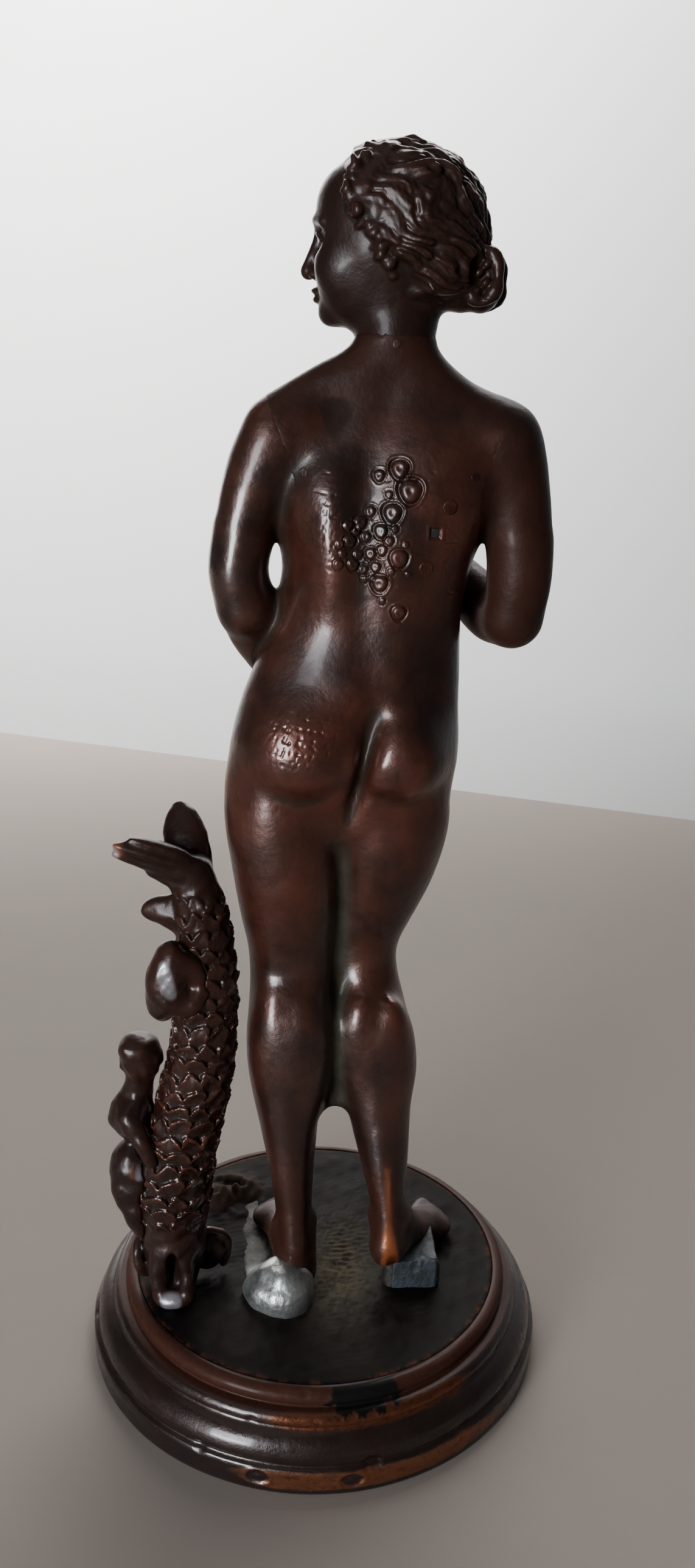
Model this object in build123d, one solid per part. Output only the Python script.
from build123d import *

import os

# A small bronze statuette: a standing nude with a dolphin support, on a round moulded socle.
#
# Millimetres, +Z up.  The origin is the middle of the socle's underside.  The figure faces -Y, so
# her left hand side is +X, where the dolphin stands.  The figure, her head, both arms, the dolphin
# and its two small riders are separate castings, joined by tenons, cross pins, studs and nuts.


# ---------------------------------------------------------------- driving dimensions
SOCLE_R = 35.5  # outer radius of the socle's foot
PLATE_TOP = 11.9  # height of the surface the figure stands on
PLATE_R = 28.5
PLATE_T = 2.4
GAP = 0.05  # clearance between pieces that are fitted together
WEB_T = 2.5  # thickness of the socle's top web, under the plate
RIM_H = 3.9  # height of the upright band at the foot of the socle
SHELL_T = 3.2  # bronze thickness of the hollow torso
NECK_SEAM_Z = 151.4  # level of the seam between neck and head

STUD_R = 1.5
STUD_PITCH = 0.5
STUD_LOW_Z = 1.6  # lower end of the studs, inside the socle
WASHER_R, WASHER_T = 3.4, 0.6
NUT_AF, NUT_T = 5.5, 2.4

TENON_R = 2.2
NECK_TENON_R = 2.6
PIN_R = 0.6
PLUG_R = 1.0
CHAPLET_SIDE = 1.3

HEAD_MIDDLE = Vector(-6.8, 0.2, 164.0)
HEAD_TURN = -14.0  # the face looks along +X, turned this many degrees towards -Y
NECK_MIDDLE = Vector(-7.5, 0.6, 150.0)

# Stations of the hollow torso: height, middle X, middle Y, half width, half depth.
TORSO = [
    (82.0, -1.4, 0.2, 9.0, 6.6),
    (86.5, -1.8, 0.4, 14.2, 9.4),
    (91.0, -1.9, 0.8, 16.2, 10.8),
    (97.0, -2.3, 0.9, 16.4, 10.9),
    (103.0, -3.0, 0.0, 15.6, 9.6),
    (108.0, -3.8, -1.2, 14.4, 8.5),
    (112.5, -4.6, -1.1, 13.4, 8.4),
    (117.0, -5.3, -0.6, 12.7, 8.4),
    (122.0, -5.9, 0.0, 13.1, 8.7),
    (127.0, -6.2, 0.3, 14.0, 8.7),
    (132.0, -6.6, 0.3, 15.3, 8.3),
    (137.0, -7.0, 0.6, 16.6, 7.3),
    (141.5, -7.3, 1.0, 16.0, 5.8),
    (145.0, -7.4, 1.0, 11.2, 5.0),
    (148.2, -7.5, 0.7, 6.6, 4.7),
    (NECK_SEAM_Z, -7.5, 0.4, 5.3, 4.9),
]
# Stations of the neck above its seam, laid out alike.
NECK = [
    (NECK_SEAM_Z, -7.5, 0.4, 5.3, 4.9),
    (154.4, -7.4, 0.2, 5.4, 5.1),
    (158.4, -7.2, 0.2, 5.4, 5.2),
]
CAVITY_LOW, CAVITY_HIGH = 90.0, 132.0

# Stations of a limb: middle X, Y, Z, half width, half depth.
LEFT_LEG = [
    (6.2, 0.2, 93.0, 7.6, 8.4),
    (6.3, 0.3, 85.0, 8.2, 8.7),
    (5.6, 0.2, 77.0, 7.9, 8.2),
    (5.1, -0.2, 70.0, 7.1, 7.2),
    (4.8, -0.2, 64.0, 6.3, 6.3),
    (4.8, 1.0, 57.0, 6.2, 6.3),
    (4.9, 2.6, 50.0, 6.3, 6.5),
    (4.8, 3.6, 42.0, 5.7, 5.7),
    (4.4, 4.6, 35.0, 4.7, 4.6),
    (3.7, 5.8, 28.0, 3.9, 3.9),
    (3.2, 6.4, 22.0, 3.7, 3.9),
    (3.0, 7.2, 15.5, 3.6, 4.2),
]
RIGHT_LEG = [
    (-9.3, -0.2, 93.0, 7.7, 8.3),
    (-9.4, -1.0, 85.0, 8.3, 8.5),
    (-8.6, -2.1, 77.0, 7.5, 7.8),
    (-7.2, -3.4, 70.0, 6.2, 6.8),
    (-6.4, -3.8, 63.0, 5.3, 5.9),
    (-7.2, -2.4, 55.0, 5.7, 6.2),
    (-8.6, -0.1, 47.0, 5.9, 6.2),
    (-9.3, 2.6, 38.0, 5.1, 5.2),
    (-10.0, 4.9, 31.0, 4.3, 4.2),
    (-10.6, 6.4, 25.5, 3.6, 3.6),
    (-10.9, 7.6, 20.4, 3.2, 3.4),
]
# A foot from heel to toes: middle X, Y, Z, half width, half height.
LEFT_FOOT = [
    (2.9, 11.6, 14.2, 1.6, 1.4),
    (3.1, 10.2, 14.6, 3.1, 2.6),
    (3.6, 5.5, 15.2, 3.5, 3.25),
    (4.8, -1.5, 14.5, 3.7, 2.55),
    (6.2, -7.5, 13.9, 4.3, 1.95),
    (7.4, -12.0, 13.4, 4.0, 1.45),
    (8.0, -14.2, 13.0, 2.6, 0.9),
]
RIGHT_FOOT = [
    (-10.2, 11.2, 19.2, 1.5, 1.4),
    (-10.7, 9.9, 19.6, 2.7, 2.5),
    (-12.6, 6.2, 19.2, 3.1, 2.9),
    (-15.0, 1.6, 17.4, 3.3, 2.5),
    (-17.4, -2.8, 15.0, 3.9, 2.1),
    (-19.3, -6.4, 13.6, 3.8, 1.5),
    (-20.4, -8.6, 13.0, 2.4, 0.9),
]
# An arm from shoulder to wrist: middle X, Y, Z, radius.
LEFT_ARM = [
    (6.4, 1.5, 139.4, 3.4),
    (8.2, 1.5, 137.0, 5.0),
    (10.6, 1.5, 132.0, 4.5),
    (12.2, 1.3, 126.0, 4.1),
    (12.7, 0.7, 120.0, 4.0),
    (11.4, -1.6, 114.6, 3.9),
    (9.4, -6.4, 109.4, 3.6),
    (7.2, -10.6, 104.4, 3.1),
    (5.2, -13.2, 100.0, 2.5),
    (4.2, -14.1, 97.8, 2.2),
]
RIGHT_ARM = [
    (-21.4, 1.4, 139.4, 3.4),
    (-22.4, 1.4, 137.2, 5.2),
    (-24.3, 1.4, 131.6, 4.8),
    (-25.4, 1.2, 125.6, 4.4),
    (-25.6, 0.5, 119.6, 4.3),
    (-24.4, -1.8, 115.2, 4.1),
    (-20.8, -6.8, 117.2, 3.8),
    (-16.8, -11.0, 120.8, 3.1),
    (-13.2, -13.8, 123.8, 2.5),
    (-11.2, -14.9, 125.6, 2.2),
]
LEFT_SHOULDER = ((7.8, 1.5, 137.4), 5.3)
RIGHT_SHOULDER = ((-22.3, 1.4, 137.0), 5.8)
# The dolphin from the snout up to the tail's root: middle X, Y, Z, half width, half depth.
DOLPHIN = [
    (21.5, 12.0, 13.2, 2.6, 2.2),
    (21.5, 10.8, 15.4, 4.0, 4.2),
    (21.7, 8.8, 19.8, 4.9, 5.0),
    (21.9, 7.6, 24.6, 5.2, 5.2),
    (21.8, 7.2, 29.0, 5.5, 5.5),
    (21.0, 6.9, 35.0, 5.4, 5.4),
    (19.4, 6.7, 41.6, 5.1, 5.1),
    (17.9, 6.4, 48.4, 4.8, 4.8),
    (17.2, 6.1, 55.0, 4.5, 4.5),
    (16.9, 5.8, 61.6, 4.3, 4.3),
    (17.2, 5.5, 68.4, 3.8, 3.8),
    (17.9, 5.2, 74.4, 3.1, 3.1),
    (18.8, 5.0, 78.6, 2.2, 2.2),
]
# A fin from root to tip: middle X, Y, Z, half breadth, half thickness.
NEAR_FLUKE = [
    (18.2, 5.4, 76.0, 2.6, 1.9),
    (21.2, 6.2, 79.4, 3.0, 1.8),
    (24.8, 6.9, 81.6, 2.6, 1.5),
    (28.6, 7.5, 82.6, 1.4, 1.1),
]
FAR_FLUKE = [
    (18.6, 4.0, 76.6, 2.6, 1.7),
    (19.8, 2.0, 80.4, 3.2, 1.5),
    (20.8, 0.0, 83.6, 2.8, 1.2),
    (21.4, -1.4, 86.4, 1.2, 0.8),
]
SIDE_FIN = [
    (18.6, 5.2, 70.6, 2.4, 1.5),
    (21.8, 4.8, 72.2, 2.2, 1.3),
    (25.4, 4.4, 72.3, 1.0, 0.8),
]
# The two worn riders, each a chain of round stations: middle X, Y, Z, radius.
UPPER_RIDER = [
    (22.9, 8.2, 57.6, 1.7),
    (22.5, 8.9, 60.4, 2.8),
    (22.1, 9.3, 63.8, 3.2),
    (21.6, 9.1, 67.2, 2.9),
    (21.3, 8.9, 69.2, 1.8),
]
LOWER_RIDER_BODY = [
    (25.8, 9.0, 20.6, 1.4),
    (27.0, 8.8, 24.6, 2.4),
    (27.6, 8.0, 29.4, 3.7),
    (27.7, 7.4, 34.0, 3.7),
    (28.0, 7.2, 39.6, 3.5),
    (27.6, 7.0, 43.6, 2.5),
    (27.0, 6.9, 46.0, 2.1),
]
LOWER_RIDER_HEAD = ((26.6, 6.9, 49.8), 3.6)

# The studs through plate and socle: X, Y and the height of the upper end.
STUD_PLACES = {
    "left_foot": (3.4, 6.6, 18.4),
    "right_foot": (-12.0, 7.0, 20.2),
    "dolphin": (21.5, 8.8, 21.0),
}
BLOCK_MIDDLE = (-15.2, 4.4)
BLOCK_SIZE = (7.0, 8.2, 4.8)
BLOCK_TURN = 3.0
# The lump of solder over the left heel, from back to front, and the flat strip beside the foot.
SOLDER = [
    (4.8, 15.0, 12.0, 2.2, 0.8),
    (5.2, 13.0, 12.6, 4.4, 3.0),
    (5.6, 10.0, 12.9, 5.2, 3.5),
    (6.2, 6.8, 12.4, 4.4, 2.2),
]
SOLDER_STRIP = [
    (7.0, 7.4, 11.9, 2.8, 1.4),
    (9.2, 1.6, 11.9, 2.0, 0.9),
    (10.9, -6.0, 11.9, 1.7, 0.8),
    (11.4, -13.0, 11.9, 1.2, 0.6),
]

# Rounded masses added to the lofted forms: middle and radius.
BREASTS = (((-1.2, -6.6, 129.6), 4.6), ((-12.6, -6.4, 129.6), 4.6))
BUTTOCKS = (((3.8, 4.2, 96.8), 7.6), ((-10.0, 4.2, 96.6), 7.4))

# The head about its own axis, with the face towards +X: height, middle X, half length, half width.
SKULL = [
    (152.6, 6.2, 2.0, 1.8),
    (155.0, 3.0, 6.8, 5.0),
    (159.0, 0.8, 9.8, 7.0),
    (164.0, 0.0, 11.2, 8.3),
    (169.0, -0.4, 10.2, 7.8),
    (173.0, -0.6, 6.6, 5.4),
    (174.9, -0.6, 2.4, 2.0),
]
NOSE = [
    (158.8, 10.4, 1.2, 1.2),
    (160.4, 11.2, 1.0, 0.9),
    (163.8, 10.6, 0.7, 0.6),
]
BUN = [
    (154.5, -11.2, 1.4, 1.3),
    (156.2, -11.3, 3.4, 3.1),
    (158.7, -11.4, 4.1, 3.8),
    (161.2, -11.3, 3.3, 3.0),
    (162.8, -11.2, 1.3, 1.2),
]

# Hands: the wrist, the first and last knuckle, the first and last fingertip, and the thumb.
LEFT_HAND = {
    "wrist": (4.2, -14.1, 97.8),
    "knuckles": ((-1.3, -13.9, 94.2), (2.9, -13.5, 91.6)),
    "tips": ((-4.8, -12.4, 89.4), (-0.4, -12.2, 87.6)),
    "thumb": ((-1.5, -14.0, 97.0), (-3.9, -13.4, 94.8)),
}
RIGHT_HAND = {
    "wrist": (-11.2, -14.8, 125.8),
    "knuckles": ((-6.8, -15.2, 130.9), (-5.2, -15.0, 126.9)),
    "tips": ((-2.0, -14.6, 133.8), (-0.4, -14.6, 130.2)),
    "thumb": ((-10.6, -15.2, 130.2), (-8.2, -15.0, 133.0)),
}
FINGERS = 4
FINGER_R = 1.05
FINGER_BEND = Vector(0, -0.5, 0)

ARMS = {
    "left": (LEFT_ARM, LEFT_SHOULDER, LEFT_HAND),
    "right": (RIGHT_ARM, RIGHT_SHOULDER, RIGHT_HAND),
}
# Each shoulder's tenon, from a point inside the arm to a point inside the torso.
ARM_TENONS = {
    "left": ((9.0, 1.6, 134.0), (1.5, 1.6, 134.0)),
    "right": ((-23.0, 1.4, 134.0), (-15.5, 1.4, 134.0)),
}
PIN_INNER_Y = -1.0  # how far forward the shoulder pins reach
BACK_Y = 14.0  # a line behind the figure's whole back
PLUG_PLACES = ((-12.2, 122.4), (-14.9, 130.2))
CHAPLET_PLACE = (-13.2, 126.9)
CHAPLET_LENGTH = 12.0
# Each rider's dowel, from a point inside the rider to a point inside the dolphin.
RIDER_PINS = {
    "upper": ((21.8, 9.0, 63.0), (16.6, 5.6, 63.0)),
    "lower": ((28.2, 7.4, 31.0), (21.0, 7.0, 31.0)),
}
# The dolphin's two cheek fins: middle, radius, thickness and turns about X, Y and Z.
CHEEK_FINS = (
    ((17.0, 5.4, 16.0), 2.8, 2.6, (90, 0, 14)),
    ((25.8, 7.6, 16.4), 3.2, 2.6, (0, 90, -30)),
)

SEAT_Z = PLATE_TOP - PLATE_T
WEB_Z = SEAT_Z - WEB_T
STUD_CLEARANCE = 0.1
PIN_CLEARANCE = 0.03
THREAD_RINGS = 11
THREAD_DEPTH = 0.2
THREAD_GROOVE = 0.22
NUT_CHAMFER = 0.25
PUNCH_MARK_ANGLES = (78.3, 99.3)
PUNCH_MARK = (1.15, 1.8, 0.25)  # half height, half width, depth
PUNCH_MARK_Z = 2.3
UPWARD = (Align.CENTER, Align.CENTER, Align.MIN)
FAR = 90.0  # wider than the whole statuette


# ---------------------------------------------------------------- helpers
def one_solid(shape):
    """The largest solid of a boolean's result."""
    return max(shape.solids(), key=lambda solid: solid.volume)


def tube(stations):
    """A closed form through elliptical stations, each set square to the line past its neighbours."""
    points = [Vector(*s[:3]) for s in stations]
    faces = []
    for i, station in enumerate(stations):
        after = points[min(i + 1, len(points) - 1)]
        before = points[max(i - 1, 0)]
        along = (after - before).normalized()
        upright = abs(along.Z) > 0.7
        side = Vector(1, 0, 0) if upright else Vector(0, 0, 1).cross(along)
        side = (side - along * side.dot(along)).normalized()
        half_width = station[3]
        half_depth = station[4] if len(station) > 4 else half_width
        faces.append(Plane(origin=points[i], x_dir=side, z_dir=along) * oval(half_width, half_depth))
    return one_solid(loft(faces))


def level_form(stations, shrink=0.0):
    """A closed form through level ellipses: height, middle X, middle Y, half width, half depth."""
    faces = [Plane(origin=(x, y, z)) * oval(a - shrink, b - shrink) for z, x, y, a, b in stations]
    return one_solid(loft(faces))


def oval(half_width, half_depth):
    """An ellipse, or a circle where both halves are the same."""
    if half_width == half_depth:
        return Circle(half_width)
    return Ellipse(half_width, half_depth)


def rod(start, end, radius):
    """A straight round bar between two points."""
    a, b = Vector(*start), Vector(*end)
    return Plane(origin=a, z_dir=(b - a).normalized()) * Cylinder(radius, (b - a).length, align=UPWARD)


def ball(middle, radius):
    return Pos(*middle) * Sphere(radius)


def upright_bar(place, low, high, radius):
    """A vertical round bar at a place's X and Y."""
    return Pos(place[0], place[1], low) * Cylinder(radius, high - low, align=UPWARD)


def cut_at_plate(shape):
    """Takes away everything below the plate's top."""
    return shape - Pos(0, 0, PLATE_TOP) * Box(FAR, FAR, FAR, align=(Align.CENTER, Align.CENTER, Align.MAX))


def stud_holes(shape, clearance):
    """Bores a shape for every stud that passes through it."""
    for place in STUD_PLACES.values():
        shape = shape - upright_bar(place, 0, place[2], STUD_R + clearance)
    return shape


# ---------------------------------------------------------------- socle and plate
def socle_profile():
    """Half section of the hollow socle: rim band, ovolo, lower bead, groove, upper bead, recess."""
    recess_r = PLATE_R + GAP
    with BuildSketch(Plane.XZ) as profile:
        with BuildLine():
            Line((32.3, 0.0), (SOCLE_R - 0.4, 0.0))
            Line((SOCLE_R - 0.4, 0.0), (SOCLE_R, 0.4))
            Line((SOCLE_R, 0.4), (SOCLE_R, RIM_H - 0.5))
            Line((SOCLE_R, RIM_H - 0.5), (SOCLE_R - 0.5, RIM_H))
            ThreePointArc((SOCLE_R - 0.5, RIM_H), (34.1, 6.5), (32.3, 8.3))
            ThreePointArc((32.3, 8.3), (31.9, 9.5), (30.6, 10.1))
            Line((30.6, 10.1), (30.1, 9.9))
            ThreePointArc((30.1, 9.9), (29.9, 11.2), (28.9, PLATE_TOP))
            Line((28.9, PLATE_TOP), (recess_r, PLATE_TOP - 0.1))
            Line((recess_r, PLATE_TOP - 0.1), (recess_r, SEAT_Z))
            Line((recess_r, SEAT_Z), (0, SEAT_Z))
            Line((0, SEAT_Z), (0, WEB_Z))
            Line((0, WEB_Z), (27.5, WEB_Z))
            ThreePointArc((27.5, WEB_Z), (29.8, 5.9), (31.0, RIM_H))
            Line((31.0, RIM_H), (32.3, 0.0))
        make_face()
    return profile.sketch


def make_socle():
    socle = stud_holes(revolve(socle_profile(), axis=Axis.Z), STUD_CLEARANCE)
    half_height, half_width, depth = PUNCH_MARK
    for angle in PUNCH_MARK_ANGLES:
        outward = Rot(0, 0, angle) * Pos(SOCLE_R, 0, PUNCH_MARK_Z) * Rot(0, 90, 0)
        socle = socle - outward * extrude(Ellipse(half_height, half_width), depth, both=True)
    return one_solid(socle)


def make_plate():
    plate = Pos(0, 0, SEAT_Z) * Cylinder(PLATE_R, PLATE_T, align=UPWARD)
    top_edge = plate.edges().filter_by(GeomType.CIRCLE).sort_by(Axis.Z)[-1]
    return one_solid(stud_holes(fillet(top_edge, 0.4), STUD_CLEARANCE))


# ---------------------------------------------------------------- figure
def make_solid_body():
    """Torso, neck, legs and feet with no core, cut off level with the plate."""
    body = level_form(TORSO)
    for stations in (LEFT_LEG, RIGHT_LEG, LEFT_FOOT, RIGHT_FOOT):
        body = body + tube(stations)
    for middle, radius in BREASTS + BUTTOCKS:
        body = body + ball(middle, radius)
    return one_solid(cut_at_plate(body))


def make_core():
    """The hollow that the clay core left in the torso."""
    return level_form([s for s in TORSO if CAVITY_LOW <= s[0] <= CAVITY_HIGH], shrink=SHELL_T)


def finger(points):
    """A bent finger of round bars with ball joints."""
    shape = ball(points[0], FINGER_R)
    for a, b in zip(points, points[1:]):
        shape = shape + rod(a, b, FINGER_R) + ball(b, FINGER_R)
    return shape


def make_hand(wrist, knuckles, tips, thumb):
    """Four fingers side by side from the wrist, and a thumb."""
    start = Vector(*wrist)
    hand = finger([start] + [Vector(*p) for p in thumb])
    for i in range(FINGERS):
        share = i / (FINGERS - 1)
        knuckle = Vector(*knuckles[0]) * (1 - share) + Vector(*knuckles[1]) * share
        tip = Vector(*tips[0]) * (1 - share) + Vector(*tips[1]) * share
        hand = hand + finger([start, knuckle, (knuckle + tip) * 0.5 + FINGER_BEND, tip])
    return hand


def arm_pin_line(side):
    """The line of the pin that crosses a shoulder's tenon, from behind."""
    outer, inner = (Vector(*p) for p in ARM_TENONS[side])
    middle = outer * 0.35 + inner * 0.65
    return (middle.X, BACK_Y, middle.Z), (middle.X, PIN_INNER_Y, middle.Z)


def make_arm(side, solid_body):
    """An arm with its rounded shoulder, hand and tenon, bored for its pin."""
    stations, shoulder, hand = ARMS[side]
    arm = one_solid((tube(stations) + ball(*shoulder) + make_hand(**hand)) - solid_body)
    arm = arm + rod(*ARM_TENONS[side], TENON_R)
    return one_solid(arm - rod(*arm_pin_line(side), PIN_R + PIN_CLEARANCE))


NECK_PIN = ((NECK_MIDDLE.X, BACK_Y, NECK_MIDDLE.Z), (NECK_MIDDLE.X, -2.2, NECK_MIDDLE.Z))
NECK_TENON_LOW = (NECK_MIDDLE.X, NECK_MIDDLE.Y, NECK_SEAM_Z - 6.0)
NECK_TENON_HIGH = (NECK_MIDDLE.X, NECK_MIDDLE.Y, NECK_SEAM_Z + 2.0)


def make_head(solid_body):
    """Skull and jaw with the drawn-back hair's mass, nose, bun and neck tenon."""
    skull, nose, bun = (level_form([(z, x, 0.0, a, b) for z, x, a, b in form]) for form in (SKULL, NOSE, BUN))
    head = Pos(HEAD_MIDDLE.X, HEAD_MIDDLE.Y, 0) * (Rot(0, 0, HEAD_TURN) * (skull + nose + bun))
    head = head + level_form(NECK)
    head = head - solid_body + rod(NECK_TENON_LOW, NECK_TENON_HIGH, NECK_TENON_R)
    return one_solid(head - rod(*NECK_PIN, PIN_R + PIN_CLEARANCE))


def make_pin(line, solid_body):
    """The stretch of a cross pin that lies within the figure."""
    return one_solid(rod(*line, PIN_R) & solid_body)


def plug_line(place):
    x, z = place
    return (x, BACK_Y, z), (x, 2.0, z)


def chaplet_bar(clearance=0.0):
    side = CHAPLET_SIDE + 2 * clearance
    return Pos(CHAPLET_PLACE[0], 8.0, CHAPLET_PLACE[1]) * Box(side, CHAPLET_LENGTH, side)


def make_core_plugs(solid_body, core):
    return Compound([one_solid((rod(*plug_line(p), PLUG_R) & solid_body) - core) for p in PLUG_PLACES])


def bore_body(solid_body, core):
    """The body as cast and drilled: hollow, with its mortises, pin holes and stud holes."""
    body = solid_body
    for side, tenon in ARM_TENONS.items():
        body = body - rod(*tenon, TENON_R + GAP) - rod(*arm_pin_line(side), PIN_R + PIN_CLEARANCE)
    body = body - rod(NECK_TENON_LOW, NECK_TENON_HIGH, NECK_TENON_R + GAP)
    body = body - rod(*NECK_PIN, PIN_R + PIN_CLEARANCE)
    for place in PLUG_PLACES:
        body = body - rod(*plug_line(place), PLUG_R + PIN_CLEARANCE)
    body = body - chaplet_bar(PIN_CLEARANCE) - core
    return one_solid(stud_holes(body, GAP))


def make_heel_block(solid_body):
    x, y = BLOCK_MIDDLE
    block = Pos(x, y, PLATE_TOP) * Rot(0, 0, BLOCK_TURN) * Box(*BLOCK_SIZE, align=UPWARD)
    return one_solid(stud_holes(block - solid_body, GAP))


def make_heel_solder(solid_body):
    metal = cut_at_plate(tube(SOLDER) + tube(SOLDER_STRIP))
    return one_solid(stud_holes(metal - solid_body, GAP))


# ---------------------------------------------------------------- dolphin and riders
def make_solid_dolphin():
    dolphin = tube(DOLPHIN)
    for stations in (NEAR_FLUKE, FAR_FLUKE, SIDE_FIN):
        dolphin = dolphin + tube(stations)
    for middle, radius, thickness, turns in CHEEK_FINS:
        dolphin = dolphin + Pos(*middle) * Rot(*turns) * Cylinder(radius, thickness)
    return one_solid(cut_at_plate(dolphin))


def make_rider(name, solid_dolphin):
    if name == "upper":
        rider = tube(UPPER_RIDER)
    else:
        rider = tube(LOWER_RIDER_BODY) + ball(*LOWER_RIDER_HEAD)
    return one_solid(rider - solid_dolphin - rod(*RIDER_PINS[name], PIN_R + PIN_CLEARANCE))


def bore_dolphin(solid_dolphin):
    for line in RIDER_PINS.values():
        solid_dolphin = solid_dolphin - rod(*line, PIN_R + PIN_CLEARANCE)
    return one_solid(stud_holes(solid_dolphin, GAP))


# ---------------------------------------------------------------- fixings
def make_stud(place):
    """A stud with a thread of plain rings along its lower end."""
    x, y, top = place
    stud = upright_bar(place, STUD_LOW_Z, top - GAP, STUD_R)
    groove = Cylinder(STUD_R + 1, THREAD_GROOVE) - Cylinder(STUD_R - THREAD_DEPTH, THREAD_GROOVE)
    for i in range(THREAD_RINGS):
        stud = stud - Pos(x, y, STUD_LOW_Z + (i + 0.7) * STUD_PITCH) * groove
    return one_solid(stud)


def make_washer(place):
    ring = Cylinder(WASHER_R, WASHER_T) - Cylinder(STUD_R + STUD_CLEARANCE, WASHER_T)
    return one_solid(Pos(place[0], place[1], WEB_Z - WASHER_T / 2) * ring)


def make_nut(place, turn):
    nut = extrude(RegularPolygon(NUT_AF / 2, 6, major_radius=False), NUT_T)
    nut = chamfer(nut.edges().group_by(Axis.Z)[0], NUT_CHAMFER)
    nut = nut - Cylinder(STUD_R + PIN_CLEARANCE, 3 * NUT_T)
    return one_solid(Pos(place[0], place[1], WEB_Z - WASHER_T - NUT_T) * Rot(0, 0, turn) * nut)


# ---------------------------------------------------------------- assembly
def build():
    """Every piece, by the name of its node."""
    solid_body = make_solid_body()
    solid_dolphin = make_solid_dolphin()
    core = make_core()
    parts = {
        "socle": make_socle(),
        "ground_plate": make_plate(),
        "figure_body": bore_body(solid_body, core),
        "head": make_head(solid_body),
        "neck_pin": make_pin(NECK_PIN, solid_body),
        "core_plugs": make_core_plugs(solid_body, core),
        "core_chaplet": one_solid((chaplet_bar() & solid_body) - core),
        "heel_block": make_heel_block(solid_body),
        "heel_solder": make_heel_solder(solid_body),
        "dolphin": bore_dolphin(solid_dolphin),
        "washers": Compound([make_washer(place) for place in STUD_PLACES.values()]),
        "nuts": Compound([make_nut(place, 20 * i) for i, place in enumerate(STUD_PLACES.values())]),
    }
    for side in ARMS:
        parts[f"{side}_arm"] = make_arm(side, solid_body)
        parts[f"{side}_arm_pin"] = make_pin(arm_pin_line(side), solid_body)
    for name, line in RIDER_PINS.items():
        parts[f"{name}_rider"] = make_rider(name, solid_dolphin)
        parts[f"{name}_rider_pin"] = rod(*line, PIN_R)
    for name, place in STUD_PLACES.items():
        parts[f"{name}_stud"] = make_stud(place)
    return parts


os.makedirs("parts", exist_ok=True)
for node, shape in build().items():
    export_step(shape, f"parts/{node}.step")
